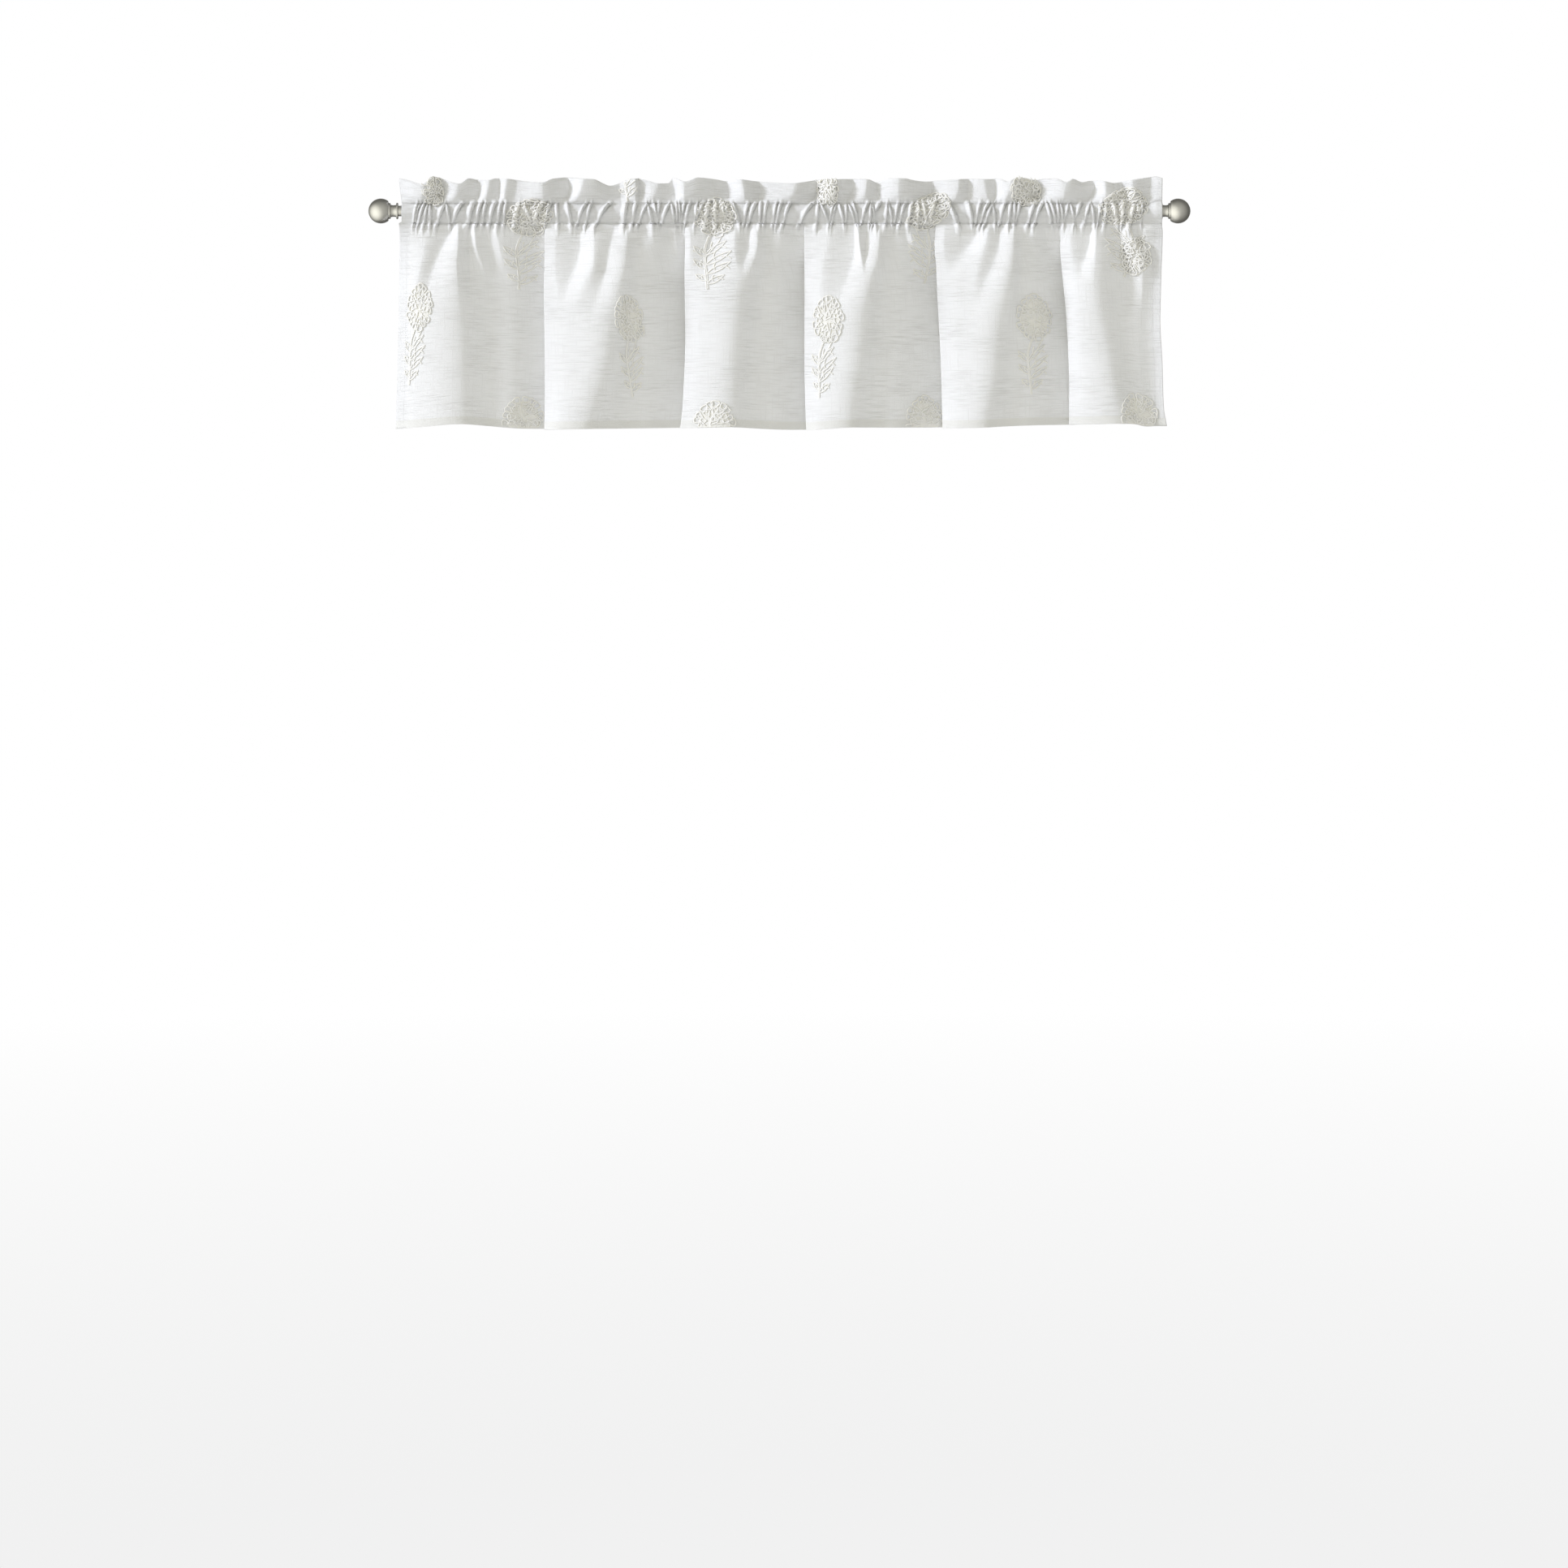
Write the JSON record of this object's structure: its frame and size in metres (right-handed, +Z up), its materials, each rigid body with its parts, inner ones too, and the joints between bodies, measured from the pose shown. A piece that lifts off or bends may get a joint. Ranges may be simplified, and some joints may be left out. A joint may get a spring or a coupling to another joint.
{
  "type": "window valance on curtain rod",
  "caption": "Semi-sheer rod-pocket window valance with a ruffled heading and soft folds, gathered on a satin nickel rod with ball finials.",
  "frame": {"origin": "on the rod's axis, half way between the ball finials' outer tips", "axes": "+X along the rod to the right, +Y back to the wall, +Z up; the face of the valance looks along -Y"},
  "size_m": [1.244, 0.0549, 0.384],
  "materials": {
    "valance_cloth": "matt semi-sheer slub weave, off-white",
    "satin_nickel": "satin nickel plate"
  },
  "bodies": {
    "root": {"valance_panel": "valance_cloth", "curtain_rod": "satin_nickel", "finial_neck_left": "satin_nickel", "finial_neck_right": "satin_nickel", "finial_ball_left": "satin_nickel", "finial_ball_right": "satin_nickel"}
  },
  "joints": []
}
